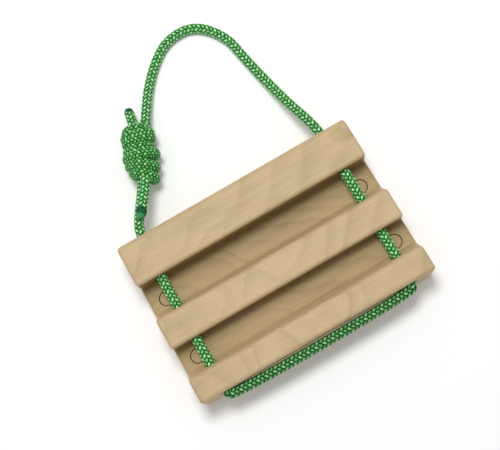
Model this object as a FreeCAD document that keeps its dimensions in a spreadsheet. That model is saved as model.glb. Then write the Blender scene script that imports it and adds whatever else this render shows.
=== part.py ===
import FreeCAD, Part
import math
import os

import Sketcher

# Portable climbing hangboard: a machined wooden block with three rails and two finger
# slots, four round wooden plugs in the slot floors, and one rope that is threaded through
# the rails and tied into a hanging loop with a double fisherman's knot.
#
# X runs along the board, Y up the board towards the loop, Z out of the front face.
# The origin is the middle of the back face. All sizes are millimetres.

SIZES = {
    "board_length": 250.0,
    "board_thickness": 44.0,
    "rail_three_height": 24.5,
    "slot_two_mouth": 33.0,
    "rail_two_height": 30.5,
    "slot_one_mouth": 37.5,
    "rail_one_height": 43.0,
    "slot_one_depth": 25.0,
    "slot_two_depth": 20.0,
    "edge_slope_run": 8.0,
    "top_edge_round": 7.0,
    "grip_edge_round": 6.0,
    "lower_edge_round": 3.5,
    "back_edge_round": 3.5,
    "slot_foot_round": 4.0,
    "end_edge_round": 3.0,
    "rope_diameter": 10.0,
    "rope_hole_clearance": 3.0,
    "rope_hole_spacing": 200.0,
    "rope_hole_below_front": 13.0,
    "rope_hole_mouth_round": 1.0,
    "rope_run_gap": 1.5,
    "rope_fold_step": 9.2,
    "plug_diameter": 14.2,
    "plug_gap": 0.3,
    "plug_depth": 8.0,
    "plug_sink": 0.7,
    "plug_bevel": 0.6,
    "plug_spacing": 215.0,
    "plug_one_below_rail": 19.0,
    "plug_two_below_rail": 14.5,
    "knot_main_length": 45.0,
    "knot_main_width": 38.0,
    "knot_main_height": 33.0,
    "knot_upper_length": 27.0,
    "knot_upper_width": 36.0,
    "knot_upper_height": 29.0,
    "sealed_end_diameter": 10.6,
    "lower_sealed_length": 10.5,
    "upper_sealed_length": 5.0,
    "sealed_end_round": 3.2,
}

CUT_PAST = 5.0          # how far a cut starts above the face that it goes into
NEAR = 0.01             # two levels closer than this are the same level
RUN_SHARE = 0.45        # share of the shorter run that the arc at a rope's corner takes up
ROPE_OVERRUN = 6.0      # how far a stretch is drawn past the plane that it is trimmed to
TRIM_SIDE = 1000.0      # side of the block that trims it, larger than the whole object
VOLUME_ERROR = 0.01     # most that a rope's volume may differ from section times length

# Where the rope runs in each hole, from the top down: how far it leans from the hole's own
# line towards the board's middle, as a share of the play round it. The first is at the
# board's top, the second part of the way down rail one, the next below rail one, at the
# top of rail two and below the board.
LEFT_LEANS = (0.87, 0.1, -0.87, -0.27, -0.53)
RIGHT_LEANS = (-0.2, None, -0.6, -0.27, -0.53)
LEAN_BELOW_TOP = 17.0
LEAN_BELOW_RAIL = 6.0
# The loop: out of the right hole, down to the surface that the board lies on, round, and
# into the top of the knot.
LOOP_POINTS = [
    (100.3, 84.25, 31.0), (97.6, 101.0, 29.6), (91.2, 128.0, 20.0), (85.2, 162.0, 7.6),
    (78.0, 199.0, 5.2), (73.5, 229.0, 5.2), (51.0, 257.0, 5.2), (19.0, 257.5, 5.2),
    (-4.0, 241.2, 5.2), (-22.0, 221.0, 6.5), (-34.5, 201.0, 11.0), (-44.0, 184.0, 15.5),
]
# The leg: out of the left hole and down into the bottom of the knot.
LEG_POINTS = [
    (-98.7, 84.25, 31.0), (-96.4, 94.5, 29.8), (-90.1, 106.8, 25.8), (-82.0, 120.0, 20.6),
    (-74.0, 134.0, 17.2), (-66.0, 148.0, 16.5),
]
# The knot's two tails, each from inside the knot to its sealed end. The lower one lies
# along the top of the leg.
LOWER_TAIL_POINTS = [
    (-66.4, 141.5, 26.6), (-72.8, 129.6, 28.8), (-80.2, 117.4, 32.2), (-86.2, 107.2, 35.6),
]
UPPER_TAIL_POINTS = [(-54.5, 181.0, 16.0), (-52.6, 192.6, 15.2), (-48.6, 205.0, 12.8)]

KNOT_MAIN_PLACE = (-62.6, 150.5, 17.0)
KNOT_UPPER_PLACE = (-52.2, 178.4, 15.6)
KNOT_TURN = -26.0       # degrees about Z, from up the board to along the knot


# --------------------------------------------------------------------- lengths and cells

def length(*names):
    """A sum of sheet cells, as its number and as the expression that gives it."""
    number, text = 0.0, ""
    for name in names:
        key = name.lstrip("-")
        sign = " - " if name.startswith("-") else " + "
        number += -SIZES[key] if name.startswith("-") else SIZES[key]
        text += sign + "Sizes." + key
    return number, text[3:]


def half(pair):
    return pair[0] / 2.0, "(" + pair[1] + ") / 2"


def plus(pair, amount):
    return pair[0] + amount, pair[1] + " + " + str(amount)


ZERO = (0.0, "0")
THICKNESS = length("board_thickness")
BOARD_LENGTH = length("board_length")
# Levels up the board from its bottom edge. A slot's lip is the top of the rail below it,
# its foot is where the lip's slope meets the floor, and its ceiling is the rail above.
LIP_TWO = length("rail_three_height")
FOOT_TWO = length("rail_three_height", "edge_slope_run")
CEILING_TWO = length("rail_three_height", "slot_two_mouth")
LIP_ONE = length("rail_three_height", "slot_two_mouth", "rail_two_height")
FOOT_ONE = length("rail_three_height", "slot_two_mouth", "rail_two_height",
                  "edge_slope_run")
CEILING_ONE = length("rail_three_height", "slot_two_mouth", "rail_two_height",
                     "slot_one_mouth")
BOARD_HEIGHT = length("rail_three_height", "slot_two_mouth", "rail_two_height",
                      "slot_one_mouth", "rail_one_height")
# Levels out of the back face.
FLOOR_ONE = length("board_thickness", "-slot_one_depth")
FLOOR_TWO = length("board_thickness", "-slot_two_depth")
SEAT_ONE = length("board_thickness", "-slot_one_depth", "-plug_depth")
SEAT_TWO = length("board_thickness", "-slot_two_depth", "-plug_depth")
HOLE_LEVEL = length("board_thickness", "-rope_hole_below_front")

HOLE_DIAMETER = length("rope_diameter", "rope_hole_clearance")
HOLE_SIDE = half(length("rope_hole_spacing"))
PLUG_SIDE = half(length("plug_spacing"))
PLUG_SEAT = length("plug_diameter", "plug_gap", "plug_gap")
PLUG_LENGTH = length("plug_depth", "-plug_sink")
PLUG_ONE = length("rail_three_height", "slot_two_mouth", "rail_two_height",
                  "slot_one_mouth", "-plug_one_below_rail")
PLUG_TWO = length("rail_three_height", "slot_two_mouth", "-plug_two_below_rail")
PLUG_ROWS = [("slot_one", SEAT_ONE, PLUG_ONE), ("slot_two", SEAT_TWO, PLUG_TWO)]


def makeSheet(doc):
    sheet = doc.addObject("Spreadsheet::Sheet", "Sizes")
    for row, (name, value) in enumerate(SIZES.items(), start=1):
        sheet.set("A%d" % row, name)
        sheet.set("B%d" % row, str(value))
        sheet.setAlias("B%d" % row, name)
    doc.recompute()


# ------------------------------------------------------------------ sketches and features

def makeBody(doc, name):
    body = doc.addObject("PartDesign::Body", name)
    body.Label = name
    return body


def makeSketch(body, name, role, level=None):
    """A sketch on one of the body's own origin planes, raised to a level if one is given."""
    sketch = body.newObject("Sketcher::SketchObject", name)
    plane = [item for item in body.Origin.OriginFeatures if item.Role == role][0]
    sketch.AttachmentSupport = [(plane, "")]
    sketch.MapMode = "FlatFace"
    if level is not None:
        sketch.setExpression("AttachmentOffset.Base.z", level[1])
    return sketch


def dimension(sketch, kind, point, distance, side=1):
    """Holds a point of the sketch at a distance from the origin, on one side of it."""
    if distance[0] == 0.0:
        axis = -2 if kind == "DistanceX" else -1
        sketch.addConstraint(Sketcher.Constraint("PointOnObject", *point, axis))
        return
    ends = (-1, 1) + point if side > 0 else point + (-1, 1)
    row = sketch.addConstraint(Sketcher.Constraint(kind, *ends, distance[0]))
    sketch.setExpression("Constraints[%d]" % row, distance[1])


def addPolygon(sketch, corners):
    """A closed outline whose corners are pairs of distances from the origin."""
    count = len(corners)
    points = [FreeCAD.Vector(across[0], up[0], 0) for across, up in corners]
    for index in range(count):
        sketch.addGeometry(Part.LineSegment(points[index], points[(index + 1) % count]))
    for index in range(count):
        sketch.addConstraint(
            Sketcher.Constraint("Coincident", index, 2, (index + 1) % count, 1))
    for index, (across, up) in enumerate(corners):
        dimension(sketch, "DistanceX", (index, 1), across)
        dimension(sketch, "DistanceY", (index, 1), up)


def addCircle(sketch, across, up, diameter, side=1):
    centre = FreeCAD.Vector(side * across[0], up[0], 0)
    index = sketch.addGeometry(
        Part.Circle(centre, FreeCAD.Vector(0, 0, 1), diameter[0] / 2.0))
    dimension(sketch, "DistanceX", (index, 3), across, side)
    dimension(sketch, "DistanceY", (index, 3), up)
    row = sketch.addConstraint(Sketcher.Constraint("Diameter", index, diameter[0]))
    sketch.setExpression("Constraints[%d]" % row, diameter[1])


def cutThrough(body, name, sketch):
    pocket = body.newObject("PartDesign::Pocket", name)
    pocket.Profile = sketch
    pocket.Type = "ThroughAll"
    pocket.SideType = "Symmetric"
    body.Document.recompute()


def dressEdges(body, kind, name, wanted, size):
    """Rounds (Fillet) or bevels (Chamfer) the edges that the test named wanted picks."""
    body.Document.recompute()
    base = body.Tip
    edges = ["Edge%d" % number for number, edge in enumerate(base.Shape.Edges, start=1)
             if wanted(edge)]
    feature = body.newObject("PartDesign::" + kind, name)
    feature.Base = (base, edges)
    feature.setExpression("Radius" if kind == "Fillet" else "Size", "Sizes." + size)
    body.Document.recompute()


def alongX(*places):
    """A test for edges that run along X at any of the given pairs of levels."""
    def wanted(edge):
        ends = [vertex.Point for vertex in edge.Vertexes]
        return len(ends) == 2 and any(
            all(abs(end.y - up[0]) < NEAR and abs(end.z - out[0]) < NEAR for end in ends)
            for up, out in places)
    return wanted


# --------------------------------------------------------------------------------- board

def makeBoard(doc):
    body = makeBody(doc, "grip_board")
    body.setExpression("Placement.Base.y", "-" + half(BOARD_HEIGHT)[1])

    outline = makeSketch(body, "block_outline", "YZ_Plane")
    addPolygon(outline, [(ZERO, ZERO), (BOARD_HEIGHT, ZERO), (BOARD_HEIGHT, THICKNESS),
                         (ZERO, THICKNESS)])
    block = body.newObject("PartDesign::Pad", "block")
    block.Profile = outline
    block.SideType = "Symmetric"
    block.setExpression("Length", BOARD_LENGTH[1])
    doc.recompute()

    above = plus(THICKNESS, CUT_PAST)
    for name, ceiling, lip, foot, floor in (
            ("slot_one", CEILING_ONE, LIP_ONE, FOOT_ONE, FLOOR_ONE),
            ("slot_two", CEILING_TWO, LIP_TWO, FOOT_TWO, FLOOR_TWO)):
        sketch = makeSketch(body, name + "_outline", "YZ_Plane")
        addPolygon(sketch, [(ceiling, floor), (ceiling, above), (lip, above),
                            (lip, THICKNESS), (foot, floor)])
        cutThrough(body, name, sketch)

    end = BOARD_LENGTH[0] / 2.0

    def onEndFace(edge):
        box = edge.BoundBox
        return box.XLength < NEAR and abs(abs(box.XMin) - end) < NEAR

    dressEdges(body, "Fillet", "slot_foot_rounds",
               alongX((FOOT_ONE, FLOOR_ONE), (FOOT_TWO, FLOOR_TWO)), "slot_foot_round")
    dressEdges(body, "Fillet", "grip_edge_rounds",
               alongX((LIP_ONE, THICKNESS), (LIP_TWO, THICKNESS)), "grip_edge_round")
    dressEdges(body, "Fillet", "lower_edge_rounds",
               alongX((CEILING_ONE, THICKNESS), (CEILING_TWO, THICKNESS),
                      (ZERO, THICKNESS)), "lower_edge_round")
    dressEdges(body, "Fillet", "top_edge_round",
               alongX((BOARD_HEIGHT, THICKNESS)), "top_edge_round")
    dressEdges(body, "Fillet", "back_edge_rounds",
               alongX((ZERO, ZERO), (BOARD_HEIGHT, ZERO)), "back_edge_round")
    dressEdges(body, "Fillet", "end_edge_rounds", onEndFace, "end_edge_round")

    holes = makeSketch(body, "rope_hole_circles", "XZ_Plane")
    for side in (1, -1):
        addCircle(holes, HOLE_SIDE, HOLE_LEVEL, HOLE_DIAMETER, side)
    cutThrough(body, "rope_holes", holes)

    mouths = (ZERO[0], CEILING_ONE[0], CEILING_TWO[0])

    def onDownwardMouth(edge):
        box = edge.BoundBox
        return box.YLength < NEAR and abs(box.XLength - HOLE_DIAMETER[0]) < NEAR and any(
            abs(box.YMin - level) < NEAR for level in mouths)

    dressEdges(body, "Fillet", "rope_hole_mouths", onDownwardMouth,
               "rope_hole_mouth_round")

    for name, seatLevel, up in PLUG_ROWS:
        circles = makeSketch(body, name + "_seat_circles", "XY_Plane", seatLevel)
        for side in (1, -1):
            addCircle(circles, PLUG_SIDE, up, PLUG_SEAT, side)
        seats = body.newObject("PartDesign::Pocket", name + "_plug_seats")
        seats.Profile = circles
        seats.Reversed = True
        seats.setExpression("Length", plus(length("plug_depth"), CUT_PAST)[1])
        doc.recompute()
    return body


def makeDisc(doc, name, diameter, thickness, kind, edgeSize):
    """A short round piece along Z whose upper rim is rounded or bevelled."""
    body = makeBody(doc, name)
    sketch = makeSketch(body, name + "_circle", "XY_Plane")
    addCircle(sketch, ZERO, ZERO, diameter)
    pad = body.newObject("PartDesign::Pad", name + "_pad")
    pad.Profile = sketch
    pad.setExpression("Length", thickness[1])
    dressEdges(body, kind, name + "_rim",
               lambda edge: edge.BoundBox.ZMin > thickness[0] / 2.0, edgeSize)
    return body


def makePlugs(doc):
    plugs = []
    for row, seatLevel, up in PLUG_ROWS:
        for word, sign in (("left", "-"), ("right", "")):
            plug = makeDisc(doc, row + "_" + word + "_plug", length("plug_diameter"),
                            PLUG_LENGTH, "Chamfer", "plug_bevel")
            plug.setExpression("Placement.Base.x", sign + PLUG_SIDE[1])
            plug.setExpression("Placement.Base.y", up[1] + " - " + half(BOARD_HEIGHT)[1])
            plug.setExpression("Placement.Base.z", seatLevel[1])
            plugs.append(plug)
    return plugs


# ---------------------------------------------------------------------------------- rope

def routeWire(name, points):
    """Straight runs joined by tangent arcs. Prints each arc's radius and the length."""
    points = [FreeCAD.Vector(*point) for point in points]
    edges, start, radii = [], points[0], []
    for before, corner, after in zip(points, points[1:], points[2:]):
        into, out = corner - before, after - corner
        turn = into.getAngle(out)
        reach = RUN_SHARE * min(into.Length, out.Length)
        radii.append(reach / math.tan(turn / 2.0))
        into.normalize()
        out.normalize()
        arcStart, arcEnd = corner - into * reach, corner + out * reach
        inward = (out - into).normalize()
        middle = (corner + inward * radii[-1] * (1.0 / math.cos(turn / 2.0) - 1.0))
        edges.append(Part.LineSegment(start, arcStart).toShape())
        edges.append(Part.Arc(arcStart, middle, arcEnd).toShape())
        start = arcEnd
    edges.append(Part.LineSegment(start, points[-1]).toShape())
    wire = Part.Wire(edges)
    print(name, "arc radii", [round(radius, 1) for radius in radii],
          "length", round(wire.Length, 1))
    return wire


def ropeShape(name, points):
    wire = routeWire(name, points)
    radius = SIZES["rope_diameter"] / 2.0
    start = FreeCAD.Vector(*points[0])
    heading = FreeCAD.Vector(*points[1]) - start
    ring = Part.Wire([Part.Circle(start, heading, radius).toShape()])
    tube = wire.makePipeShell([ring], True, True)
    expected = math.pi * radius ** 2 * wire.Length
    print(name, "volume over section times length", round(tube.Volume / expected, 4))
    if abs(tube.Volume / expected - 1.0) > VOLUME_ERROR:
        raise ValueError(name + " is not a whole tube")
    return tube


def largest(shape):
    return max(shape.Solids, key=lambda solid: solid.Volume)


def addShape(doc, name, shape):
    feature = doc.addObject("Part::Feature", name)
    feature.Label = name
    feature.Shape = shape
    return feature


def threadedPoints():
    """Down through the left holes, along below the board and up through the right ones.

    The rope folds through two half corners below each hole.
    """
    top = BOARD_HEIGHT[0] / 2.0
    level = HOLE_LEVEL[0]
    play = SIZES["rope_hole_clearance"] / 2.0
    low = -top - SIZES["rope_run_gap"] - SIZES["rope_diameter"] / 2.0
    fold = SIZES["rope_fold_step"] * math.sqrt(0.5)
    ups = (top, top - LEAN_BELOW_TOP, CEILING_ONE[0] - top - LEAN_BELOW_RAIL,
           CEILING_TWO[0] - top, low + fold)
    columns = []
    for sign, leans in ((-1, LEFT_LEANS), (1, RIGHT_LEANS)):
        column = [(sign * (HOLE_SIDE[0] - lean * play), up, level)
                  for lean, up in zip(leans, ups) if lean is not None]
        column.append((column[-1][0] - sign * fold, low, level))
        columns.append(column)
    return columns[0] + columns[1][::-1]


def drawnPast(points, atStart, atEnd):
    """The route with its first or last point, or both, moved out by the overrun."""
    route = [FreeCAD.Vector(*point) for point in points]
    if atStart:
        route[0] += (route[0] - route[1]).normalize() * ROPE_OVERRUN
    if atEnd:
        route[-1] += (route[-1] - route[-2]).normalize() * ROPE_OVERRUN
    return [tuple(point) for point in route]


def trimBlock(above):
    """A large block on one side of the plane of the board's top face."""
    top = BOARD_HEIGHT[0] / 2.0
    low = top if above else top - TRIM_SIDE
    corner = FreeCAD.Vector(-TRIM_SIDE / 2.0, low, -TRIM_SIDE / 2.0)
    return Part.makeBox(TRIM_SIDE, TRIM_SIDE, TRIM_SIDE, corner)


def makeKnot(doc):
    """Two rounded lobes in line: the knot's larger half and its smaller upper half."""
    lobes = []
    for name, place in (("knot_main", KNOT_MAIN_PLACE), ("knot_upper", KNOT_UPPER_PLACE)):
        lobe = doc.addObject("Part::Ellipsoid", name)
        lobe.setExpression("Radius1", "Sizes." + name + "_height / 2")
        lobe.setExpression("Radius2", "Sizes." + name + "_width / 2")
        lobe.setExpression("Radius3", "Sizes." + name + "_length / 2")
        turn = FreeCAD.Rotation(FreeCAD.Vector(0, 0, 1), KNOT_TURN)
        lobe.Placement = FreeCAD.Placement(FreeCAD.Vector(*place), turn)
        lobes.append(lobe)
    knot = doc.addObject("Part::MultiFuse", "rope_knot")
    knot.Label = "rope_knot"
    knot.Shapes = lobes
    doc.recompute()
    return knot


def makeRope(doc):
    """The stretches of the rope, which meet face to face where it leaves the board."""
    knot = makeKnot(doc)
    threaded = ropeShape("rope_threaded", drawnPast(threadedPoints(), True, True))
    pieces = [knot, addShape(doc, "rope_threaded", threaded.cut(trimBlock(True)))]
    below = trimBlock(False)
    for name, points in (("rope_loop", LOOP_POINTS), ("rope_leg", LEG_POINTS)):
        shape = ropeShape(name, drawnPast(points, True, False)).cut(below).cut(knot.Shape)
        pieces.append(addShape(doc, name, largest(shape)))
    for name, points in (("knot_lower_tail", LOWER_TAIL_POINTS),
                         ("knot_upper_tail", UPPER_TAIL_POINTS)):
        pieces.append(addShape(doc, name, largest(ropeShape(name, points).cut(knot.Shape))))
    for name, points, size in (
            ("lower_sealed_end", LOWER_TAIL_POINTS, "lower_sealed_length"),
            ("upper_sealed_end", UPPER_TAIL_POINTS, "upper_sealed_length")):
        cap = makeDisc(doc, name, length("sealed_end_diameter"), length(size), "Fillet",
                       "sealed_end_round")
        tip = FreeCAD.Vector(*points[-1])
        heading = tip - FreeCAD.Vector(*points[-2])
        cap.Placement = FreeCAD.Placement(
            tip, FreeCAD.Rotation(FreeCAD.Vector(0, 0, 1), heading))
        pieces.append(cap)
    return pieces


# ------------------------------------------------------------------------ build and write

def main():
    doc = FreeCAD.newDocument("hangboard")
    makeSheet(doc)
    pieces = [makeBoard(doc)] + makePlugs(doc) + makeRope(doc)
    doc.recompute()
    for item in doc.Objects:
        if "Invalid" in item.State or "Error" in item.State:
            raise ValueError(item.Label + " did not build")
    for piece in pieces:
        if piece.Shape.isNull() or not piece.Shape.isValid():
            raise ValueError(piece.Label + " is not a valid solid")
        print(piece.Label, "solids", len(piece.Shape.Solids),
              "volume", round(piece.Shape.Volume, 1))
    os.makedirs("parts", exist_ok=True)
    for piece in pieces:
        piece.Shape.exportStep(os.path.join("parts", piece.Label + ".step"))


main()
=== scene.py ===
import bpy
import math
import bmesh
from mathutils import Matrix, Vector, noise


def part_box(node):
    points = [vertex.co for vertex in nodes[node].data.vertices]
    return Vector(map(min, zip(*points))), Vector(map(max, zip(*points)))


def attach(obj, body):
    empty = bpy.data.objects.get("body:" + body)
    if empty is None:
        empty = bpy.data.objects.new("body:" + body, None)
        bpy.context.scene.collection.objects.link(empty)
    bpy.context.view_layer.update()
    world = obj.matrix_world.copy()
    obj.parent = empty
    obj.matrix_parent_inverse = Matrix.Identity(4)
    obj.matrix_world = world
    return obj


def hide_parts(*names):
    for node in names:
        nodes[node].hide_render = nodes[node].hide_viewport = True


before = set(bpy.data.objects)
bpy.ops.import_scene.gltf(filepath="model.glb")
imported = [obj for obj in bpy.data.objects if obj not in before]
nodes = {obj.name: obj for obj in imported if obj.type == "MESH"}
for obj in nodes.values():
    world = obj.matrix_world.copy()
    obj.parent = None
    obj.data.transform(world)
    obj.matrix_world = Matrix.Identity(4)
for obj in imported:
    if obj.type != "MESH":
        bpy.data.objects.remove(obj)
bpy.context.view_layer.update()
scene = bpy.context.scene
mm = 0.001
print("frame loaded:", len(nodes), "nodes")


# camera

view = {
    "place": (-0.0303, -0.1631, 1.0004),
    "turn": (11.1066, 4.5765, -29.688),      # degrees
    "lens": 74.74,                           # mm
    "sensor": 36.0,                          # mm
}


def makeCamera():
    data = bpy.data.cameras.new("camera")
    data.sensor_width = view["sensor"]
    data.lens = view["lens"]
    camera = bpy.data.objects.new("camera", data)
    camera.location = view["place"]
    camera.rotation_euler = [math.radians(angle) for angle in view["turn"]]
    scene.collection.objects.link(camera)
    scene.camera = camera


makeCamera()
print("camera placed")


# helpers for node trees

def addNode(tree, kind, inputs=None, **settings):
    # inputs are sockets to link from, or plain values
    node = tree.nodes.new(kind)
    for name, value in settings.items():
        setattr(node, name, value)
    for name, value in (inputs or {}).items():
        if isinstance(value, bpy.types.NodeSocket):
            tree.links.new(value, node.inputs[name])
        else:
            node.inputs[name].default_value = value
    return node


def calc(tree, operation, *values):
    node = addNode(tree, "ShaderNodeMath", dict(enumerate(values)), operation=operation)
    return node.outputs[0]


def vectorCalc(tree, operation, *values):
    node = addNode(tree, "ShaderNodeVectorMath", dict(enumerate(values)), operation=operation)
    return node.outputs[0]


def scaled(tree, vector, factor):
    node = addNode(tree, "ShaderNodeVectorMath", {0: vector, "Scale": factor},
                   operation="SCALE")
    return node.outputs[0]


def blendColours(tree, factor, first, second):
    node = addNode(tree, "ShaderNodeMix", {0: factor, 6: first, 7: second}, data_type="RGBA")
    return node.outputs[2]


def mask(tree, value, low, high):
    return addNode(tree, "ShaderNodeMapRange", {
        "Value": value, "From Min": low, "From Max": high},
        interpolation_type="SMOOTHSTEP").outputs[0]


def tinted(tree, colour, factor, tint):
    level = blendColours(tree, factor, (1, 1, 1, 1), tint)
    return vectorCalc(tree, "MULTIPLY", colour, level)


def addSockets(tree, side, sockets):
    for name, kind, value in sockets:
        socket = tree.interface.new_socket(name, in_out=side, socket_type="NodeSocket" + kind)
        if value is not None:
            socket.default_value = value


# braided rope

braid = {
    "Path Radius": 4.0 * mm,       # middle of the braided layer
    "Weave Depth": 0.45 * mm,      # how far a yarn rises over and dips under
    "Yarn Width": 2.5 * mm,
    "Yarn Thickness": 1.3 * mm,
    "Core Radius": 3.4 * mm,
    "Lead": 35.2 * mm,             # one full turn of a yarn
    "Step": 1.1 * mm,
    "Core Step": 2.5 * mm,
    "Yarns": 16,                   # half run each way
    "Yarn Sides": 8,
    "Core Sides": 12,
}


def buildBraidTree():
    tree = bpy.data.node_groups.new("braidedRope", "GeometryNodeTree")
    addSockets(tree, "INPUT", [("Line", "Geometry", None)])
    addSockets(tree, "INPUT", [
        (name, "Int" if isinstance(value, int) else "Float", value)
        for name, value in braid.items()])
    addSockets(tree, "INPUT", [("Material", "Material", None)])
    addSockets(tree, "OUTPUT", [("Rope", "Geometry", None)])
    given = addNode(tree, "NodeGroupInput").outputs

    line = addNode(tree, "GeometryNodeMeshToCurve", {"Mesh": given["Line"]}).outputs[0]
    fine = addNode(tree, "GeometryNodeResampleCurve",
                   {"Curve": line, "Length": given["Step"]}, mode="LENGTH").outputs[0]
    copies = addNode(tree, "GeometryNodeDuplicateElements",
                     {"Geometry": fine, "Amount": given["Yarns"]}, domain="SPLINE").outputs

    # half of the yarns turn one way and half the other
    eachWay = calc(tree, "DIVIDE", given["Yarns"], 2.0)
    number = copies["Duplicate Index"]
    back = calc(tree, "GREATER_THAN", number, calc(tree, "SUBTRACT", eachWay, 0.5))
    hand = calc(tree, "MULTIPLY_ADD", back, -2.0, 1.0)
    share = calc(tree, "DIVIDE", calc(tree, "MODULO", number, eachWay), eachWay)
    along = addNode(tree, "GeometryNodeSplineParameter").outputs["Length"]
    turns = calc(tree, "MULTIPLY_ADD", calc(tree, "DIVIDE", along, given["Lead"]), hand, share)
    angle = calc(tree, "MULTIPLY", turns, math.tau)

    # a yarn goes over two and under two, so its height follows the angle round the rope,
    # and its tops are fuller and its flanks steeper than a plain wave's
    columns = calc(tree, "DIVIDE", given["Yarns"], 4.0)
    wave = calc(tree, "COSINE", calc(tree, "MULTIPLY_ADD", angle, columns, -math.pi / 4))
    height = calc(tree, "MULTIPLY", wave, hand)
    square = calc(tree, "MULTIPLY", height, height)
    height = calc(tree, "MULTIPLY", height, calc(tree, "MULTIPLY_ADD", square, -0.5, 1.5))

    tangent = addNode(tree, "GeometryNodeInputTangent").outputs[0]
    normal = addNode(tree, "GeometryNodeInputNormal").outputs[0]
    side = vectorCalc(tree, "CROSS_PRODUCT", tangent, normal)
    outward = vectorCalc(tree, "ADD", scaled(tree, normal, calc(tree, "COSINE", angle)),
                         scaled(tree, side, calc(tree, "SINE", angle)))

    keep = tree.nodes.new("GeometryNodeCaptureAttribute")
    for kind, name in (("VECTOR", "Outward"), ("FLOAT", "Height"), ("FLOAT", "Number")):
        keep.capture_items.new(kind, name)
    for name, source in (("Geometry", copies["Geometry"]), ("Outward", outward),
                         ("Height", height), ("Number", number)):
        tree.links.new(source, keep.inputs[name])
    kept = keep.outputs
    reach = calc(tree, "MULTIPLY_ADD", kept["Height"], given["Weave Depth"],
                 given["Path Radius"])
    yarns = addNode(tree, "GeometryNodeSetPosition", {
        "Geometry": kept["Geometry"],
        "Offset": scaled(tree, kept["Outward"], reach)}).outputs[0]
    yarns = addNode(tree, "GeometryNodeSetCurveNormal",
                    {"Curve": yarns, "Normal": kept["Outward"]}, mode="FREE").outputs[0]
    for name, source in (("crown", kept["Height"]), ("yarn", kept["Number"])):
        yarns = addNode(tree, "GeometryNodeStoreNamedAttribute", {
            "Geometry": yarns, "Name": name, "Value": source}, domain="POINT").outputs[0]

    # a yarn's section is a flat oval, wide round the rope and thin outwards
    ring = addNode(tree, "GeometryNodeCurvePrimitiveCircle",
                   {"Resolution": given["Yarn Sides"], "Radius": 0.5}).outputs[0]
    factor = addNode(tree, "GeometryNodeSplineParameter").outputs["Factor"]
    around = calc(tree, "MULTIPLY", factor, math.tau)
    for name, source in (("facing", calc(tree, "COSINE", around)),
                         ("beside", calc(tree, "SINE", around))):
        ring = addNode(tree, "GeometryNodeStoreNamedAttribute",
                       {"Geometry": ring, "Name": name, "Value": source},
                       domain="POINT").outputs[0]
    size = addNode(tree, "ShaderNodeCombineXYZ", {
        "X": given["Yarn Thickness"], "Y": given["Yarn Width"], "Z": 1.0}).outputs[0]
    ring = addNode(tree, "GeometryNodeTransform", {"Geometry": ring, "Scale": size}).outputs[0]
    yarns = addNode(tree, "GeometryNodeCurveToMesh", {
        "Curve": yarns, "Profile Curve": ring, "Fill Caps": True}).outputs[0]

    # the core fills the rope under the yarns, and counts as the bottom of a valley, which gets
    # the painted valley shade
    coarse = addNode(tree, "GeometryNodeResampleCurve",
                     {"Curve": line, "Length": given["Core Step"]}, mode="LENGTH").outputs[0]
    circle = addNode(tree, "GeometryNodeCurvePrimitiveCircle", {
        "Resolution": given["Core Sides"], "Radius": given["Core Radius"]}).outputs[0]
    core = addNode(tree, "GeometryNodeCurveToMesh", {
        "Curve": coarse, "Profile Curve": circle, "Fill Caps": True}).outputs[0]
    core = addNode(tree, "GeometryNodeStoreNamedAttribute",
                   {"Geometry": core, "Name": "crown", "Value": -1.0},
                   domain="POINT").outputs[0]

    joined = addNode(tree, "GeometryNodeJoinGeometry")
    tree.links.new(core, joined.inputs[0])
    tree.links.new(yarns, joined.inputs[0])
    rope = addNode(tree, "GeometryNodeSetShadeSmooth", {"Geometry": joined.outputs[0]})
    rope = addNode(tree, "GeometryNodeRealizeInstances", {"Geometry": rope.outputs[0]})
    rope = addNode(tree, "GeometryNodeSetMaterial",
                   {"Geometry": rope.outputs[0], "Material": given["Material"]})
    addNode(tree, "NodeGroupOutput", {"Rope": rope.outputs[0]})
    return tree


ropeLine = {
    "steps": 24,                   # between two of a route's points
    "order": 3,
}


def smoothLine(name, points):
    # a NURBS spline with the route's points as its control points, as a line of places
    curve = bpy.data.curves.new(name, "CURVE")
    curve.dimensions = "3D"
    curve.resolution_u = ropeLine["steps"]
    spline = curve.splines.new("NURBS")
    spline.points.add(len(points) - 1)
    for point, place in zip(spline.points, points):
        point.co = (place[0] * mm, place[1] * mm, place[2] * mm, 1)
    spline.order_u = ropeLine["order"]
    spline.use_endpoint_u = True
    holder = bpy.data.objects.new(name, curve)
    mesh = bpy.data.meshes.new_from_object(holder)
    bpy.data.objects.remove(holder)
    return [vertex.co.copy() for vertex in mesh.vertices]


def makeRope(name, lines, tree, material, **changes):
    # lines are rows of places, and all of them become one piece
    places, edges = [], []
    for line in lines:
        first = len(places)
        places += line
        edges += [(first + i, first + i + 1) for i in range(len(line) - 1)]
    mesh = bpy.data.meshes.new(name + "Line")
    mesh.from_pydata(places, edges, [])
    holder = bpy.data.objects.new(name + "Line", mesh)
    scene.collection.objects.link(holder)
    modifier = holder.modifiers.new("braid", "NODES")
    modifier.node_group = tree
    values = {**braid, **changes, "Material": material}
    for item in tree.interface.items_tree:
        if item.in_out == "INPUT" and item.name in values:
            modifier[item.identifier] = values[item.name]
    seen = holder.evaluated_get(bpy.context.evaluated_depsgraph_get())
    made = bpy.data.meshes.new_from_object(seen)
    made.name = name
    bpy.data.objects.remove(holder)
    piece = bpy.data.objects.new(name, made)
    scene.collection.objects.link(piece)
    print(name, "faces", len(made.polygons))
    return piece


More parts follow.
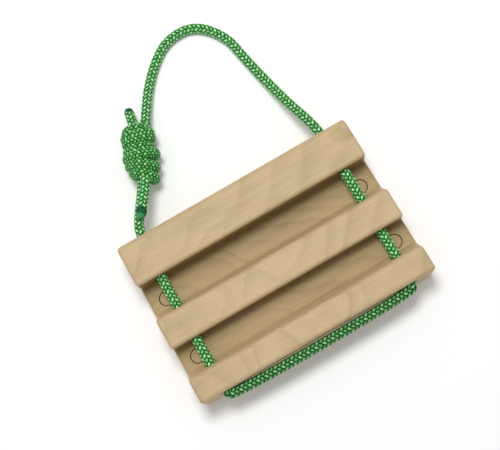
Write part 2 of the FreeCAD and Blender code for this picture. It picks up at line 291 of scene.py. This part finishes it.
sheath = {
    "Bright": (0.84, 1.0, 0.78, 1),      # painted highlight on the top of a yarn where it lies over
    "Middle": (0.125, 0.60, 0.135, 1),
    "Darker": (0.05, 0.39, 0.055, 1),    # every other yarn
    # painted shade in the hollows between the yarns and on the core
    "Painted Valley Shade": (0.001, 0.03, 0.001, 1),
    "Painted Run Shade": (0.68, 0.68, 0.68, 1),  # painted shade on the stretch along the bottom edge, below the board
    "Fibres": 34.0,                      # fine lines over half of a yarn
    # how strong the painted highlights are
    "Highlight Amount": 1.0,
}
shadedKnotSheath = {                           # painted shade: a darker copy of the same yarns, for the knot
    **sheath,
    "Bright": (0.82, 1.0, 0.76, 1),
    "Middle": (0.065, 0.51, 0.072, 1),
    "Darker": (0.025, 0.30, 0.027, 1),
}

tones = {
    "facingShare": 0.6,                  # how much a yarn's middle is above its sides
    "shadedValleyEdge": (0.4, 1.3),            # heights where the painted shade of a valley gives way to a yarn
    "highlightCrown": (0.85, 0.98),          # the painted highlight is on the top of a crossing
    "highlightFacing": (0.55, 0.95),         # and along the middle of its yarn
    "darkerHighlight": -0.45,                # it is weaker on every other yarn
    "runShadeEdge": (-83.0 * mm, -89.0 * mm), # where the painted shade on the bottom stretch starts, up the board
    "roughness": 0.45,
    "specular": 0.2,
    "fibreDepth": 0.1 * mm,
    "fibreStrength": 0.6,
}


def buildSheathGroup():
    group = bpy.data.node_groups.new("braidedSheath", "ShaderNodeTree")
    addSockets(group, "INPUT", [
        (name, "Float" if isinstance(value, float) else "Color", value)
        for name, value in sheath.items()])
    addSockets(group, "OUTPUT", [("Color", "Color", None), ("Height", "Float", None)])
    given = addNode(group, "NodeGroupInput").outputs
    crown, facing, beside, yarn = [
        addNode(group, "ShaderNodeAttribute", attribute_name=name).outputs["Fac"]
        for name in ("crown", "facing", "beside", "yarn")]

    odd = calc(group, "FLOORED_MODULO", yarn, 2.0)
    raised = calc(group, "MULTIPLY_ADD", facing, tones["facingShare"], crown)
    colour = blendColours(group, odd, given["Middle"], given["Darker"])
    # painted shade in the hollows between the yarns
    colour = blendColours(group, mask(group, raised, *tones["shadedValleyEdge"]), given["Painted Valley Shade"],
                          colour)
    # painted highlight where a yarn lies on top and faces outwards
    highlight = calc(group, "MULTIPLY", mask(group, crown, *tones["highlightCrown"]),
                 mask(group, facing, *tones["highlightFacing"]))
    weaker = calc(group, "MULTIPLY_ADD", odd, tones["darkerHighlight"], 1.0)
    highlight = calc(group, "MULTIPLY", highlight, weaker)
    highlight = calc(group, "MULTIPLY", highlight, given["Highlight Amount"])
    colour = blendColours(group, highlight, colour, given["Bright"])
    # painted shade on the stretch that runs under the board's bottom edge
    place = addNode(group, "ShaderNodeTexCoord").outputs["Object"]
    up = addNode(group, "ShaderNodeSeparateXYZ", {0: place}).outputs["Y"]
    colour = tinted(group, colour, mask(group, up, *tones["runShadeEdge"]), given["Painted Run Shade"])
    fibres = calc(group, "SINE", calc(group, "MULTIPLY", beside, given["Fibres"]))
    addNode(group, "NodeGroupOutput", {"Color": colour, "Height": fibres})
    return group


def makeRopeMaterial(name, group, look):
    material = bpy.data.materials.new(name)
    material.use_nodes = True
    tree = material.node_tree
    surface = tree.nodes["Principled BSDF"]
    braided = addNode(tree, "ShaderNodeGroup", look, node_tree=group).outputs
    tree.links.new(braided["Color"], surface.inputs["Base Color"])
    surface.inputs["Roughness"].default_value = tones["roughness"]
    surface.inputs["Specular IOR Level"].default_value = tones["specular"]
    bump = addNode(tree, "ShaderNodeBump", {
        "Height": braided["Height"], "Distance": tones["fibreDepth"],
        "Strength": tones["fibreStrength"]})
    tree.links.new(bump.outputs[0], surface.inputs["Normal"])
    return material


# routes in mm, the solids' own, except that the two tails lie a little beside theirs

routes = {
    "threaded": [
        (-98.7, 78.0, 31.0), (-99.85, 67.25, 31.0), (-101.3, 35.25, 31.0),
        (-100.4, -26.75, 31.0), (-100.8, -84.25, 31.0), (-94.3, -90.75, 31.0),
        (94.3, -90.75, 31.0), (100.8, -84.25, 31.0), (100.4, -26.75, 31.0),
        (100.9, 35.25, 31.0), (100.3, 78.0, 31.0)],
    "loop": [
        (100.3, 78.0, 31.0), (100.3, 84.25, 31.0), (97.6, 101.0, 29.6), (91.2, 128.0, 20.0),
        (85.2, 162.0, 7.6), (78.0, 199.0, 5.2), (73.5, 229.0, 5.2), (51.0, 257.0, 5.2),
        (19.0, 257.5, 5.2), (-4.0, 241.2, 5.2), (-22.0, 221.0, 6.5), (-34.5, 201.0, 11.0),
        (-44.0, 184.0, 15.5)],
    "leg": [
        (-98.7, 78.0, 31.0), (-98.7, 84.25, 31.0), (-96.4, 94.5, 29.8), (-90.1, 106.8, 25.8),
        (-82.0, 120.0, 20.6), (-74.0, 134.0, 17.2), (-66.0, 148.0, 16.5)],
    "lowerTail": [
        (-65.0, 140.8, 26.6), (-71.2, 128.6, 28.8), (-78.8, 116.7, 32.2),
        (-85.4, 107.0, 35.6)],
    "upperTail": [(-55.2, 181.3, 16.0), (-52.8, 193.0, 15.2), (-50.6, 206.2, 12.8)],
}

# the knot in its own frame, mm: along it, across it and up, from the middle of its main
# half; a wrap's line passes from side to side of the knot, over it and then under it
knot = {
    "middle": (-62.6, 150.5, 17.0),
    "heading": -26.0,              # degrees, from up the board
    "height": 11.0,                # radius upwards
    "main": [(16.5, 6.0), (11.5, -15.2), (9.8, 11.2), (5.5, -16.2), (-3.8, 10.8),
             (-1.5, -14.2), (-15.6, 9.8), (-9.0, -10.2), (-9.0, 0.0)],
    "upper": [(35.0, 3.0), (31.5, -15.8), (31.0, 6.4), (26.0, -17.4), (27.0, 7.2),
              (20.7, -16.2), (17.0, 0.0)],
    "through": [(41.0, 2.6, -1.9), (30.0, 1.0, 0.0), (10.0, 0.0, 0.0), (-4.0, -2.0, 0.0)],
    "perHalfTurn": 6,
    "braid": {"Path Radius": 4.9 * mm, "Core Radius": 4.3 * mm, "Yarns": 24,
              "Yarn Width": 2.3 * mm},
}


def knotPlace(along, across, up):
    turn = math.radians(knot["heading"])
    middle = knot["middle"]
    return (middle[0] + across * math.cos(turn) - along * math.sin(turn),
            middle[1] + across * math.sin(turn) + along * math.cos(turn),
            middle[2] + up)


def knotLine(stations):
    count = knot["perHalfTurn"]
    points = []
    for number, (first, second) in enumerate(zip(stations, stations[1:])):
        for step in range(count):
            share = step / count
            blend = (1 - math.cos(math.pi * share)) / 2
            along = first[0] + (second[0] - first[0]) * blend
            across = first[1] + (second[1] - first[1]) * blend
            up = knot["height"] * math.sin(math.pi * (number + share))
            points.append(knotPlace(along, across, up))
    return points


# a rope's end where its yarns were melted together
ends = {
    "sides": 20,
    "rings": 12,
    "inside": 3.0 * mm,            # how far it starts inside the rope
    "lump": 0.9 * mm,
    "lumpScale": 260.0,
    "domeStart": 0.6,              # share of its length where it starts to close
    "neck": 0.86,                  # share of its radius inside the rope
    "swell": 0.17,                 # what it grows by from there
    "swellRate": 1.3,              # how soon it is widest
    "lowerLength": 11.0 * mm,
    "lowerRadius": 5.1 * mm,
    "upperLength": 5.5 * mm,
    "upperRadius": 4.8 * mm,
}


def makeSealedEnd(name, line, length, radius, material):
    heading = (line[-1] - line[-4]).normalized()
    start = line[-1] - heading * ends["inside"]
    turn = heading.to_track_quat("Z", "Y")
    shape = bmesh.new()
    depth = shape.verts.layers.float.new("toTip")
    rings = []
    for number in range(ends["rings"]):
        share = number / ends["rings"]
        closing = (share - ends["domeStart"]) / (1 - ends["domeStart"])
        dome = math.sqrt(1 - max(0.0, closing) ** 2)
        swell = math.sin(math.pi * min(1.0, share * ends["swellRate"]))
        width = radius * dome * (ends["neck"] + ends["swell"] * swell)
        ring = []
        for side in range(ends["sides"]):
            angle = math.tau * side / ends["sides"]
            place = start + turn @ Vector((
                width * math.cos(angle), width * math.sin(angle),
                (length + ends["inside"]) * share))
            lump = noise.noise(place * ends["lumpScale"]) * ends["lump"] * dome
            vertex = shape.verts.new(place + turn @ Vector((
                lump * math.cos(angle), lump * math.sin(angle), 0)))
            vertex[depth] = share
            ring.append(vertex)
        rings.append(ring)
    for ring, other in zip(rings, rings[1:]):
        for side in range(ends["sides"]):
            after = (side + 1) % ends["sides"]
            shape.faces.new((ring[side], ring[after], other[after], other[side]))
    shape.faces.new(rings[0])
    tip = shape.verts.new(start + heading * (length + ends["inside"]))
    tip[depth] = 1.0
    for side in range(ends["sides"]):
        shape.faces.new((rings[-1][side], rings[-1][(side + 1) % ends["sides"]], tip))
    bmesh.ops.recalc_face_normals(shape, faces=shape.faces)
    mesh = bpy.data.meshes.new(name + "Shape")
    shape.to_mesh(mesh)
    shape.free()
    mesh.materials.append(material)
    mesh.shade_smooth()
    holder = bpy.data.objects.new(name + "Shape", mesh)
    scene.collection.objects.link(holder)
    rounding = holder.modifiers.new("rounding", "SUBSURF")
    rounding.levels = rounding.render_levels = 1
    seen = holder.evaluated_get(bpy.context.evaluated_depsgraph_get())
    made = bpy.data.meshes.new_from_object(seen)
    made.name = name
    bpy.data.objects.remove(holder)
    piece = bpy.data.objects.new(name, made)
    scene.collection.objects.link(piece)
    return piece


melted = {
    "dark": (0.003, 0.07, 0.02, 1),
    "light": (0.05, 0.30, 0.10, 1),      # towards the tip
    "lightEdge": (0.55, 0.85),           # shares of its length
    "edgeWander": 1.2,                   # how uneven that edge is
    "lumpScale": 420.0,
    "lumpDetail": 4.0,
    "lumpDepth": 0.4 * mm,
    "roughness": (0.25, 0.4),            # the least, and what the lumps add
    "specular": 0.15,
}


def makeSealedMaterial():
    material = bpy.data.materials.new("sealedRope")
    material.use_nodes = True
    tree = material.node_tree
    surface = tree.nodes["Principled BSDF"]
    place = addNode(tree, "ShaderNodeTexCoord").outputs["Object"]
    lumps = addNode(tree, "ShaderNodeTexNoise", {
        "Vector": place, "Scale": melted["lumpScale"],
        "Detail": melted["lumpDetail"]}).outputs["Fac"]
    toTip = addNode(tree, "ShaderNodeAttribute", attribute_name="toTip").outputs["Fac"]
    wander = melted["edgeWander"]
    level = calc(tree, "ADD", toTip, calc(tree, "MULTIPLY_ADD", lumps, wander, -wander / 2))
    low, high = melted["lightEdge"]
    light = addNode(tree, "ShaderNodeMapRange", {"Value": level, "From Min": low,
                                                 "From Max": high}).outputs[0]
    colour = blendColours(tree, light, melted["dark"], melted["light"])
    tree.links.new(colour, surface.inputs["Base Color"])
    least, added = melted["roughness"]
    tree.links.new(calc(tree, "MULTIPLY_ADD", lumps, added, least), surface.inputs["Roughness"])
    surface.inputs["Specular IOR Level"].default_value = melted["specular"]
    bump = addNode(tree, "ShaderNodeBump", {"Height": lumps, "Distance": melted["lumpDepth"]})
    tree.links.new(bump.outputs[0], surface.inputs["Normal"])
    return material


braidTree = buildBraidTree()
sheathGroup = buildSheathGroup()
ropeMaterial = makeRopeMaterial("ropeSheath", sheathGroup, sheath)
lines = {name: smoothLine(name, points) for name, points in routes.items()}

threaded = makeRope("threadedRope", [lines["threaded"]], braidTree, ropeMaterial)
loop = makeRope("loopRope", [lines["loop"]], braidTree, ropeMaterial)
leg = makeRope("legRope", [lines["leg"]], braidTree, ropeMaterial)
lowerTail = makeRope("lowerTail", [lines["lowerTail"]], braidTree, ropeMaterial)
upperTail = makeRope("upperTail", [lines["upperTail"]], braidTree, ropeMaterial)
wraps = makeRope("knotWraps", [
    smoothLine("mainWraps", knotLine(knot["main"])),
    smoothLine("upperWraps", knotLine(knot["upper"])),
    smoothLine("through", [knotPlace(*point) for point in knot["through"]]),
# the knot's sheath is the darker copy, with painted shade
], braidTree, makeRopeMaterial("shadedKnotSheath", sheathGroup, shadedKnotSheath), **knot["braid"])
sealed = makeSealedMaterial()
lowerEnd = makeSealedEnd("lowerSealedEnd", lines["lowerTail"], ends["lowerLength"],
                         ends["lowerRadius"], sealed)
upperEnd = makeSealedEnd("upperSealedEnd", lines["upperTail"], ends["upperLength"],
                         ends["upperRadius"], sealed)
for piece, node in ((lowerEnd, "lower_sealed_end"), (upperEnd, "upper_sealed_end")):
    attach(piece, "root")
    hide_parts(node)
for piece, node in ((threaded, "rope_threaded"), (loop, "rope_loop"), (leg, "rope_leg"),
                    (lowerTail, "knot_lower_tail"), (upperTail, "knot_upper_tail"),
                    (wraps, "rope_knot")):
    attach(piece, "root")
    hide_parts(node)


def lineLength(line):
    return sum((b - a).length for a, b in zip(line, line[1:]))


for name, line in lines.items():
    print(name, "length", round(lineLength(line), 4))

print("rope braided")


# wood

wood = {
    "light": (0.54, 0.40, 0.225, 1),
    "dark": (0.335, 0.23, 0.11, 1),
    "front": 44.0 * mm,                  # the height that depth is counted from
    "ringGap": 4.6 * mm,
    "ringStrength": 0.30,
    "ringShape": ((0.5, 0.3), (0.8, 1.0), (0.88, 0.9)),      # how dark, along one ring
    "ringYears": (0.15, 1.3),            # the weakest ring, and how much rings differ
    "slopeAlong": (-0.15, 12.5),         # how the growth rings lie in the block, at its
    "slopeUp": (0.10, 9.1),              # front face and for each metre of depth
    "wander": 32.0 * mm,                 # how far rings and fibres stray
    "wanderScale": 6.5,
    "fibreScale": (14.0, 420.0, 420.0),
    "fibreTone": (0.5, -0.25),           # factor and shift
    "broadScale": (9.0, 24.0, 24.0),
    "broadTone": (0.9, -0.4),
    "speckScale": (170.0, 1300.0, 1300.0),
    "speckEdge": (0.62, 0.78),
    "speckTone": 0.3,
    "speckDepth": -0.6,                  # specks are pores, so they lie deeper than fibres
    "roughness": (0.45, 0.15),           # the least, and what fibres add
    "specular": 0.35,
    "grainDepth": 0.06 * mm,
    "grainStrength": 0.4,
}


def buildWoodGroup():
    group = bpy.data.node_groups.new("woodFigure", "ShaderNodeTree")
    addSockets(group, "INPUT", [
        ("Place", "Vector", None), ("Light", "Color", wood["light"]),
        ("Dark", "Color", wood["dark"]), ("Ring Gap", "Float", wood["ringGap"]),
        ("Ring Strength", "Float", wood["ringStrength"])])
    addSockets(group, "OUTPUT", [("Color", "Color", None), ("Roughness", "Float", None),
                                 ("Height", "Float", None)])
    given = addNode(group, "NodeGroupInput").outputs
    place = given["Place"]

    wander = addNode(group, "ShaderNodeTexNoise", {
        "Vector": place, "Scale": wood["wanderScale"], "Detail": 3.0}).outputs["Color"]
    wander = vectorCalc(group, "SUBTRACT", wander, (0.5, 0.5, 0.5))
    bent = vectorCalc(group, "ADD", place, scaled(group, wander, wood["wander"]))
    parts = addNode(group, "ShaderNodeSeparateXYZ", {0: bent}).outputs
    depth = calc(group, "SUBTRACT", wood["front"], parts["Z"])
    level = parts["Z"]
    for name, part in (("slopeAlong", parts["X"]), ("slopeUp", parts["Y"])):
        front, deeper = wood[name]
        slope = calc(group, "MULTIPLY_ADD", depth, deeper, front)
        level = calc(group, "MULTIPLY_ADD", part, slope, level)
    count = calc(group, "DIVIDE", level, given["Ring Gap"])
    ring = calc(group, "FRACT", count)
    ramp = addNode(group, "ShaderNodeValToRGB", {"Fac": ring})
    ramp.color_ramp.interpolation = "B_SPLINE"
    ramp.color_ramp.elements[0].color = (0, 0, 0, 1)
    ramp.color_ramp.elements[1].position = 1.0
    ramp.color_ramp.elements[1].color = (0, 0, 0, 1)
    for position, grey in wood["ringShape"]:
        ramp.color_ramp.elements.new(position).color = (grey, grey, grey, 1)
    # some rings are stronger than others
    year = addNode(group, "ShaderNodeTexWhiteNoise",
                   {"W": calc(group, "FLOOR", count)}, noise_dimensions="1D").outputs[0]
    weakest, spread = wood["ringYears"]
    strength = calc(group, "MULTIPLY", given["Ring Strength"],
                    calc(group, "MULTIPLY_ADD", year, spread, weakest))
    rings = calc(group, "MULTIPLY", ramp.outputs[0], strength)

    # fibres, the short specks that run with them, and broad lighter and darker places
    fibre = addNode(group, "ShaderNodeTexNoise", {
        "Vector": vectorCalc(group, "MULTIPLY", bent, wood["fibreScale"]),
        "Scale": 1.0, "Detail": 4.0}).outputs["Fac"]
    specks = addNode(group, "ShaderNodeTexNoise", {
        "Vector": vectorCalc(group, "MULTIPLY", bent, wood["speckScale"]),
        "Scale": 1.0, "Detail": 1.0}).outputs["Fac"]
    low, high = wood["speckEdge"]
    specks = addNode(group, "ShaderNodeMapRange", {"Value": specks, "From Min": low,
                                                   "From Max": high}).outputs[0]
    broad = addNode(group, "ShaderNodeTexNoise", {
        "Vector": vectorCalc(group, "MULTIPLY", place, wood["broadScale"]),
        "Scale": 1.0, "Detail": 3.0}).outputs["Fac"]
    tone = calc(group, "ADD", rings, calc(group, "MULTIPLY_ADD", fibre, *wood["fibreTone"]))
    tone = calc(group, "ADD", tone, calc(group, "MULTIPLY_ADD", broad, *wood["broadTone"]))
    tone = calc(group, "MULTIPLY_ADD", specks, wood["speckTone"], tone)
    colour = blendColours(group, tone, given["Light"], given["Dark"])
    least, added = wood["roughness"]
    roughness = calc(group, "MULTIPLY_ADD", fibre, added, least)
    height = calc(group, "MULTIPLY_ADD", specks, wood["speckDepth"], fibre)
    addNode(group, "NodeGroupOutput", {"Color": colour, "Roughness": roughness,
                                       "Height": height})
    return group


slots = {
    "deepShadeTint": (0.56, 0.51, 0.36, 1),    # painted shade on the floors, deepest under the rail above
    "faintShadeTint": (0.80, 0.77, 0.63, 1),   # and fainter painted shade towards the rail below
    "upperFloor": (38.0 * mm, 16.0 * mm),      # from its upper side to its lower side
    "lowerFloor": (-29.0 * mm, -47.0 * mm),
    "between": (4.0 * mm, -4.0 * mm),    # under the middle rail
    "floorHeight": (36.0 * mm, 27.0 * mm),     # a floor is anything flat below this
    "floorFacing": (0.4, 0.8),
    "wallShade": (0.19, 0.105, 0.028, 1),     # painted shade on the walls under the rails
    "wallStrength": 0.85,
    "wallFacing": (-0.6, -0.95),
    "wallHeight": (41.5 * mm, 38.0 * mm),
    "wallFrom": (-75.0 * mm, -65.0 * mm),      # the block's own edges get no painted shade
    "wallTo": (62.0 * mm, 58.0 * mm),
}


def buildFloorShadeGroup():
    # painted shade on the slots' floors, which makes them darker than the faces
    group = bpy.data.node_groups.new("slotFloorShade", "ShaderNodeTree")
    addSockets(group, "INPUT", [
        ("Place", "Vector", None), ("Color", "Color", None), ("Amount", "Float", 1.0),
        ("Deep Shade Tint", "Color", slots["deepShadeTint"]), ("Faint Shade Tint", "Color", slots["faintShadeTint"])])
    addSockets(group, "OUTPUT", [("Color", "Color", None)])
    given = addNode(group, "NodeGroupInput").outputs
    up = addNode(group, "ShaderNodeSeparateXYZ", {0: given["Place"]}).outputs["Y"]
    upper = mask(group, up, *slots["upperFloor"])
    lower = mask(group, up, *slots["lowerFloor"])
    below = mask(group, up, *slots["between"])
    near = calc(group, "ADD", calc(group, "SUBTRACT", upper, below), lower)
    # painted shade, from deep under the rail above to faint by the rail below
    tint = blendColours(group, near, given["Deep Shade Tint"], given["Faint Shade Tint"])
    colour = tinted(group, given["Color"], given["Amount"], tint)
    addNode(group, "NodeGroupOutput", {"Color": colour})
    return group


def shadeSlots(tree, place, colour, floorShadeGroup):
    # painted shade on the slots' floors and on their walls
    parts = addNode(tree, "ShaderNodeSeparateXYZ", {0: place}).outputs
    facing = addNode(tree, "ShaderNodeNewGeometry").outputs["Normal"]
    facing = addNode(tree, "ShaderNodeSeparateXYZ", {0: facing}).outputs
    flat = calc(tree, "MULTIPLY", mask(tree, parts["Z"], *slots["floorHeight"]),
                mask(tree, facing["Z"], *slots["floorFacing"]))
    colour = addNode(tree, "ShaderNodeGroup", {"Place": place, "Color": colour,
                                               "Amount": flat}, node_tree=floorShadeGroup).outputs[0]
    # painted shade on the walls under the rails, which face down the board
    inside = calc(tree, "MULTIPLY", mask(tree, parts["Y"], *slots["wallFrom"]),
                  mask(tree, parts["Y"], *slots["wallTo"]))
    wallShade = calc(tree, "MULTIPLY", inside, mask(tree, facing["Y"], *slots["wallFacing"]))
    wallShade = calc(tree, "MULTIPLY", wallShade, mask(tree, parts["Z"], *slots["wallHeight"]))
    wallShade = calc(tree, "MULTIPLY", wallShade, slots["wallStrength"])
    return blendColours(tree, wallShade, colour, slots["wallShade"])


# a small eye in the figure, near a corner of the front face
eye = {
    "middle": (0.1145, 0.0705, 0.044),
    "length": 13.0 * mm,
    "width": 7.5 * mm,
    "turn": -30.0,                       # degrees
    "tint": (0.86, 0.87, 0.80, 1),
    "bendScale": 90.0,
    "bend": 0.5,                         # how uneven its outline is
    "edge": (1.25, 0.95),                # in shares of its size
    "height": (30.0 * mm, 40.0 * mm),
}


def shadeEye(tree, place, colour):
    bend = addNode(tree, "ShaderNodeTexNoise", {
        "Vector": place, "Scale": eye["bendScale"]}).outputs["Fac"]
    away = vectorCalc(tree, "SUBTRACT", place, eye["middle"])
    turn = math.radians(eye["turn"])
    axes = (((math.cos(turn), math.sin(turn), 0), eye["length"]),
            ((-math.sin(turn), math.cos(turn), 0), eye["width"]))
    squares = []
    for axis, reach in axes:
        share = addNode(tree, "ShaderNodeVectorMath", {
            0: away, 1: [value / reach for value in axis]}, operation="DOT_PRODUCT")
        squares.append(calc(tree, "POWER", calc(tree, "ABSOLUTE", share.outputs["Value"]), 2.0))
    away = calc(tree, "MULTIPLY_ADD", bend, eye["bend"], calc(tree, "ADD", *squares))
    height = addNode(tree, "ShaderNodeSeparateXYZ", {0: place}).outputs["Z"]
    inside = calc(tree, "MULTIPLY", mask(tree, away, *eye["edge"]),
                  mask(tree, height, *eye["height"]))
    return tinted(tree, colour, inside, eye["tint"])


# a dark line at the meeting of each plug and its seat
gap = {
    "colour": (0.21, 0.135, 0.06, 1),
    "board": {"Inner Start": 7.0 * mm, "Inner End": 7.2 * mm,      # from a plug's middle
              "Outer Start": 7.5 * mm, "Outer End": 7.9 * mm},
    "plug": {"Inner Start": 6.4 * mm, "Inner End": 6.8 * mm,
             "Outer Start": 8.5 * mm, "Outer End": 9.0 * mm},
}
plugs = ("slot_one_left_plug", "slot_one_right_plug", "slot_two_left_plug",
         "slot_two_right_plug")


def buildGapGroup():
    group = bpy.data.node_groups.new("plugGap", "ShaderNodeTree")
    addSockets(group, "INPUT", [
        ("Place", "Vector", None), ("Color", "Color", None),
        ("Gap Color", "Color", gap["colour"]), ("Inner Start", "Float", None),
        ("Inner End", "Float", None), ("Outer Start", "Float", None),
        ("Outer End", "Float", None)])
    addSockets(group, "OUTPUT", [("Color", "Color", None)])
    given = addNode(group, "NodeGroupInput").outputs
    ring = 0.0
    flat = vectorCalc(group, "MULTIPLY", given["Place"], (1, 1, 0))
    for plug in plugs:
        low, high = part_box(plug)
        centre = ((low[0] + high[0]) / 2, (low[1] + high[1]) / 2, 0)
        away = addNode(group, "ShaderNodeVectorMath", {0: flat, 1: centre},
                       operation="DISTANCE").outputs["Value"]
        near = calc(group, "MULTIPLY",
                    mask(group, away, given["Inner Start"], given["Inner End"]),
                    mask(group, away, given["Outer End"], given["Outer Start"]))
        ring = calc(group, "ADD", ring, near)
    colour = blendColours(group, ring, given["Color"], given["Gap Color"])
    addNode(group, "NodeGroupOutput", {"Color": colour})
    return group


def makeWoodMaterial(name, figureGroup, floorShadeGroup, gapGroup, distances, isBoard):
    material = bpy.data.materials.new(name)
    material.use_nodes = True
    tree = material.node_tree
    surface = tree.nodes["Principled BSDF"]
    place = addNode(tree, "ShaderNodeTexCoord").outputs["Object"]
    figure = addNode(tree, "ShaderNodeGroup", {"Place": place}, node_tree=figureGroup).outputs
    if isBoard:
        colour = shadeSlots(tree, place, figure["Color"], floorShadeGroup)
        colour = shadeEye(tree, place, colour)
    else:
        # the plugs sit in the floors and get the same painted shade
        colour = addNode(tree, "ShaderNodeGroup", {"Place": place, "Color": figure["Color"]},
                         node_tree=floorShadeGroup).outputs["Color"]
    ringed = addNode(tree, "ShaderNodeGroup", {"Place": place, "Color": colour,
                                              **distances}, node_tree=gapGroup).outputs
    tree.links.new(ringed["Color"], surface.inputs["Base Color"])
    tree.links.new(figure["Roughness"], surface.inputs["Roughness"])
    surface.inputs["Specular IOR Level"].default_value = wood["specular"]
    bump = addNode(tree, "ShaderNodeBump", {
        "Height": figure["Height"], "Distance": wood["grainDepth"],
        "Strength": wood["grainStrength"]})
    tree.links.new(bump.outputs[0], surface.inputs["Normal"])
    return material


def dress(node, material):
    data = nodes[node].data
    data.materials.clear()
    data.materials.append(material)


woodGroup = buildWoodGroup()
floorShadeGroup = buildFloorShadeGroup()
gapGroup = buildGapGroup()
boardWood = makeWoodMaterial("boardWood", woodGroup, floorShadeGroup, gapGroup, gap["board"], True)
plugWood = makeWoodMaterial("plugWood", woodGroup, floorShadeGroup, gapGroup, gap["plug"], False)
dress("grip_board", boardWood)
for plug in plugs:
    dress(plug, plugWood)
print("wood dressed")


# floor and light

studio = {
    "floor": (0.97, 0.97, 0.97, 1),
    "floorReach": 4.0,
    "floorRoughness": 0.9,
    "floorSpecular": 0.1,
    "world": 0.54,
    "keyPower": 17.0,
    "keyPlace": (0.06, 0.48, 1.64),
    "keySize": 0.6,
}


def makeStudio():
    reach = studio["floorReach"]
    mesh = bpy.data.meshes.new("floor")
    corners = [(-reach, -reach, 0), (reach, -reach, 0), (reach, reach, 0), (-reach, reach, 0)]
    mesh.from_pydata(corners, [], [(0, 1, 2, 3)])
    floor = bpy.data.objects.new("floor", mesh)
    scene.collection.objects.link(floor)
    material = bpy.data.materials.new("floorPaper")
    material.use_nodes = True
    surface = material.node_tree.nodes["Principled BSDF"]
    surface.inputs["Base Color"].default_value = studio["floor"]
    surface.inputs["Roughness"].default_value = studio["floorRoughness"]
    surface.inputs["Specular IOR Level"].default_value = studio["floorSpecular"]
    mesh.materials.append(material)

    world = bpy.data.worlds.new("studio")
    world.use_nodes = True
    world.node_tree.nodes["Background"].inputs["Color"].default_value = (1, 1, 1, 1)
    world.node_tree.nodes["Background"].inputs["Strength"].default_value = studio["world"]
    scene.world = world

    lamp = bpy.data.lights.new("key", "AREA")
    lamp.shape = "DISK"
    lamp.size = studio["keySize"]
    lamp.energy = studio["keyPower"]
    key = bpy.data.objects.new("key", lamp)
    key.location = studio["keyPlace"]
    key.rotation_euler = (-Vector(studio["keyPlace"])).to_track_quat("-Z", "Y").to_euler()
    scene.collection.objects.link(key)
    scene.view_settings.view_transform = "Standard"


makeStudio()
print("studio lit")
